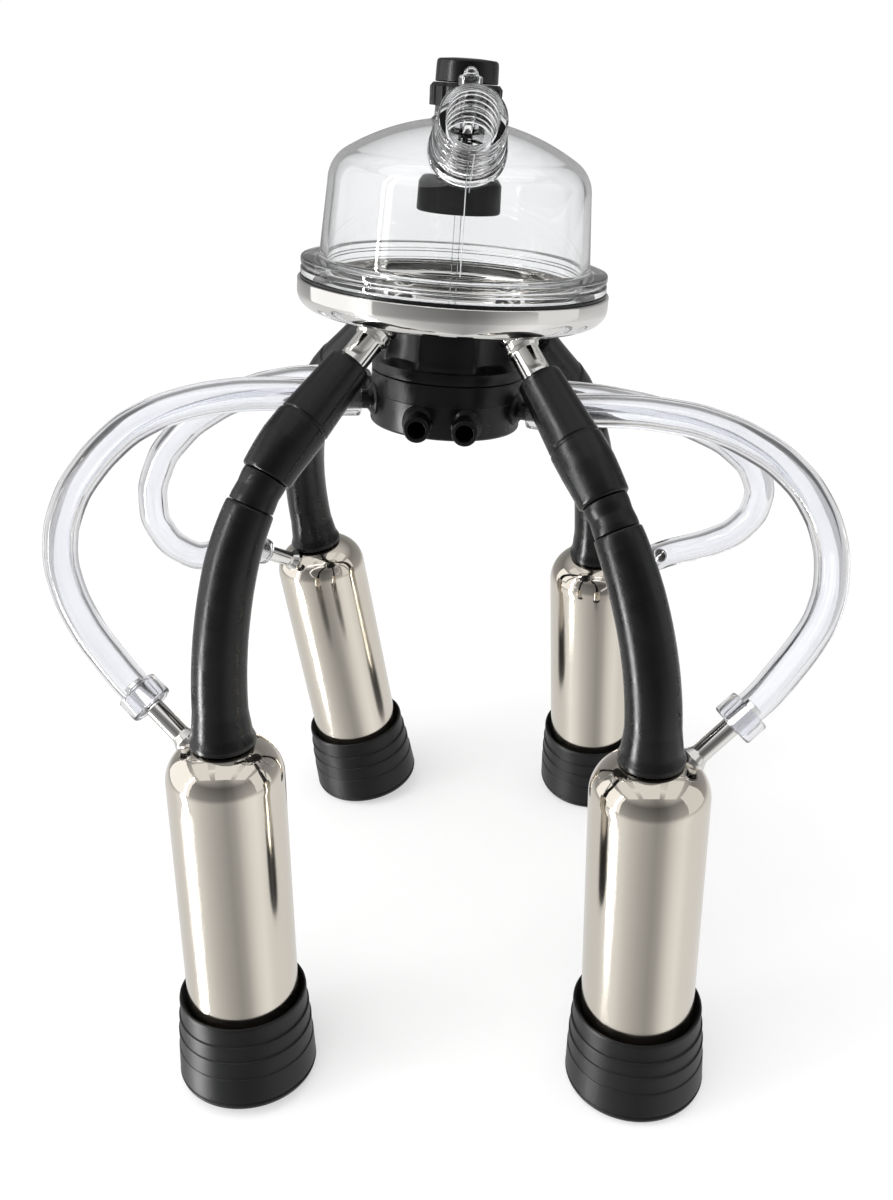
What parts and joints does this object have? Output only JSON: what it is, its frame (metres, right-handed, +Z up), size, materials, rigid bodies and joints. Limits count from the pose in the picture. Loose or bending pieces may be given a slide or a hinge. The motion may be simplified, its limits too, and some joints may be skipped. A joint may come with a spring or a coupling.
{
  "type": "milking claw",
  "caption": "Dairy milking cluster: clear claw bowl with steel cover, pulse distributor and shut-off valve, standing on teat cups with steel shells, rubber liners and pulse tubes.",
  "frame": {"origin": "on the floor, under the middle of the cluster's box without its pulse tubes", "axes": "+Z up, +X to the right and +Y to the back as seen from the spout's side"},
  "size_m": [0.3249, 0.294, 0.4106],
  "materials": {
    "clear_bowl": "clear, polished",
    "mirror_steel": "mirror polished",
    "satin_steel": "satin, polished at the shoulder",
    "rubber": "satin black",
    "black_plastic": "satin black",
    "clear_tube": "clear, slightly lilac"
  },
  "bodies": {
    "cluster": {"bowl": "clear_bowl", "spout": "clear_bowl", "cover": "mirror_steel", "centre_screw": "mirror_steel", "milk_inlet_fl": "mirror_steel", "milk_inlet_fr": "mirror_steel", "milk_inlet_bl": "mirror_steel", "milk_inlet_br": "mirror_steel", "shell_fl": "satin_steel", "shell_fr": "satin_steel", "shell_bl": "satin_steel", "shell_br": "satin_steel", "shell_nipple_fl": "satin_steel", "shell_nipple_fr": "satin_steel", "shell_nipple_bl": "satin_steel", "shell_nipple_br": "satin_steel", "bowl_seal": "rubber", "floor_disc": "rubber", "milk_tube_fl": "rubber", "milk_tube_fr": "rubber", "milk_tube_bl": "rubber", "milk_tube_br": "rubber", "liner_fl": "rubber", "liner_fr": "rubber", "liner_bl": "rubber", "liner_br": "rubber", "distributor_top": "black_plastic", "distributor_body": "black_plastic", "stem_bush": "black_plastic", "side_nipple_fl": "black_plastic", "side_nipple_fr": "black_plastic", "side_nipple_bl": "black_plastic", "side_nipple_br": "black_plastic", "front_nipple_left": "black_plastic", "front_nipple_right": "black_plastic", "tail_connector_fl": "black_plastic", "tail_connector_fr": "black_plastic", "tail_connector_bl": "black_plastic", "tail_connector_br": "black_plastic", "pulse_tube_fl": "clear_tube", "pulse_tube_fr": "clear_tube", "pulse_tube_bl": "clear_tube", "pulse_tube_br": "clear_tube", "pulse_cuff_fl": "clear_tube", "pulse_cuff_fr": "clear_tube"},
    "valve": {"valve_cap": "rubber", "valve_grip": "black_plastic", "valve_stem": "black_plastic", "valve_cup": "rubber", "valve_rod": "clear_bowl"}
  },
  "joints": [
    {"name": "valve_slide", "type": "slide", "parent": "cluster", "child": "valve", "axis": [0.0784, 0.0436, 0.996], "range_m": [0, 0.009]}
  ]
}
